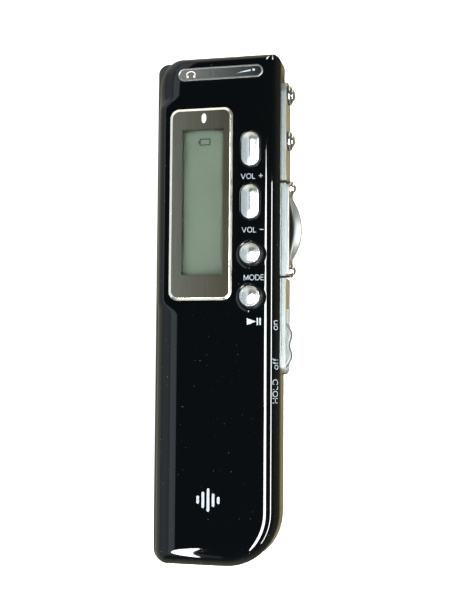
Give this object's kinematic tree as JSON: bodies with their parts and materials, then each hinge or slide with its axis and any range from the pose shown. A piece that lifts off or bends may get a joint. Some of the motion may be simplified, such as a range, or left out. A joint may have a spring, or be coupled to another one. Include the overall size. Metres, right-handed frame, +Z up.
{
  "type": "handheld voice recorder",
  "caption": "Slim handheld voice recorder: glossy cover, recessed display in a metal bezel, chrome front buttons, side keys with a rocker and a hold slider, sliding battery door at the back",
  "frame": {"origin": "on the flat back, on the case's middle line halfway along its length", "axes": "X across the case with the side keys at +X, Y along it with the sockets at +Y, Z up out of the face"},
  "size_m": [0.0299, 0.103, 0.0165],
  "materials": {
    "black_gloss": "high-gloss black lacquered plastic",
    "smoked_gold": "dark olive-gold metallic plastic, semi-gloss",
    "black_plastic": "moulded matte black plastic",
    "taupe_metal": "brushed grey-brown metal with a bright cut edge",
    "chrome": "polished chrome plating",
    "satin_silver": "fine blasted satin silver",
    "dark_chrome": "smoked mirror plating",
    "clear_pane": "clear flat pane",
    "lcd_green": "grey-green liquid crystal panel",
    "white_lens": "translucent white lens",
    "board_green": "green solder resist",
    "chip_black": "black moulded epoxy",
    "switch_metal": "tin-plated steel",
    "spring_steel": "nickel-plated spring steel",
    "cell_wrap": "printed cell sleeve, plain blue",
    "screw_steel": "dark zinc-plated steel",
    "cone_paper": "black paper cone on a steel basket"
  },
  "bodies": {
    "root": {"front_cover": "black_gloss", "rear_case": "smoked_gold", "battery_tray": "black_plastic", "side_trim": "satin_silver", "display_bezel": "taupe_metal", "display_window": "clear_pane", "led_lens": "white_lens", "label_plate": "dark_chrome", "volume_up_switch": "switch_metal", "volume_down_switch": "switch_metal", "mode_switch": "switch_metal", "play_switch": "switch_metal", "record_switch": "switch_metal", "stop_switch": "switch_metal", "forward_switch": "switch_metal", "back_switch": "switch_metal", "hold_switch": "switch_metal", "lcd_panel": "lcd_green", "lcd_holder": "black_plastic", "lcd_contact_strip": "chip_black", "main_board": "board_green", "side_board": "board_green", "processor_chip": "chip_black", "memory_chip": "chip_black", "crystal": "switch_metal", "record_led": "white_lens", "board_screw_1": "screw_steel", "board_screw_2": "screw_steel", "headphone_jack": "black_plastic", "microphone_jack": "black_plastic", "microphone_capsule": "switch_metal", "usb_port": "switch_metal", "speaker": "cone_paper", "left_cell": "cell_wrap", "right_cell": "cell_wrap", "link_plate": "spring_steel", "positive_contact": "spring_steel", "negative_contact": "spring_steel", "lower_spring": "spring_steel", "upper_spring": "spring_steel", "case_screw_1": "screw_steel", "case_screw_2": "screw_steel", "case_screw_3": "screw_steel", "case_screw_4": "screw_steel"},
    "volume_up": {"volume_up_button": "chrome"},
    "volume_down": {"volume_down_button": "chrome"},
    "mode": {"mode_button": "chrome"},
    "play": {"play_button": "chrome"},
    "record": {"record_key": "chrome"},
    "stop": {"stop_key": "chrome"},
    "rocker": {"skip_rocker": "chrome"},
    "slider": {"hold_slider": "satin_silver"},
    "door": {"battery_door": "smoked_gold"}
  },
  "joints": [
    {"name": "volume_up_press", "type": "slide", "parent": "root", "child": "volume_up", "axis": [0, 0, -1], "range_m": [0, 0.0004], "stiffness_N_per_m": 800},
    {"name": "volume_down_press", "type": "slide", "parent": "root", "child": "volume_down", "axis": [0, 0, -1], "range_m": [0, 0.0004], "stiffness_N_per_m": 800},
    {"name": "mode_press", "type": "slide", "parent": "root", "child": "mode", "axis": [0, 0, -1], "range_m": [0, 0.0004], "stiffness_N_per_m": 800},
    {"name": "play_press", "type": "slide", "parent": "root", "child": "play", "axis": [0, 0, -1], "range_m": [0, 0.0004], "stiffness_N_per_m": 800},
    {"name": "record_press", "type": "slide", "parent": "root", "child": "record", "axis": [-1, 0, 0], "range_m": [0, 0.0003], "stiffness_N_per_m": 800},
    {"name": "stop_press", "type": "slide", "parent": "root", "child": "stop", "axis": [-1, 0, 0], "range_m": [0, 0.0003], "stiffness_N_per_m": 800},
    {"name": "rocker_tilt", "type": "hinge", "parent": "root", "child": "rocker", "pos_m": [0.0132, 0.0164, 0.0086], "axis": [0, 0, 1], "range_deg": [-3, 3], "stiffness_Nm_per_rad": 0.02},
    {"name": "hold_slide", "type": "slide", "parent": "root", "child": "slider", "axis": [0, 1, 0], "range_m": [0, 0.0025]},
    {"name": "door_slide", "type": "slide", "parent": "root", "child": "door", "axis": [0, -1, 0], "range_m": [0, 0.048]}
  ]
}
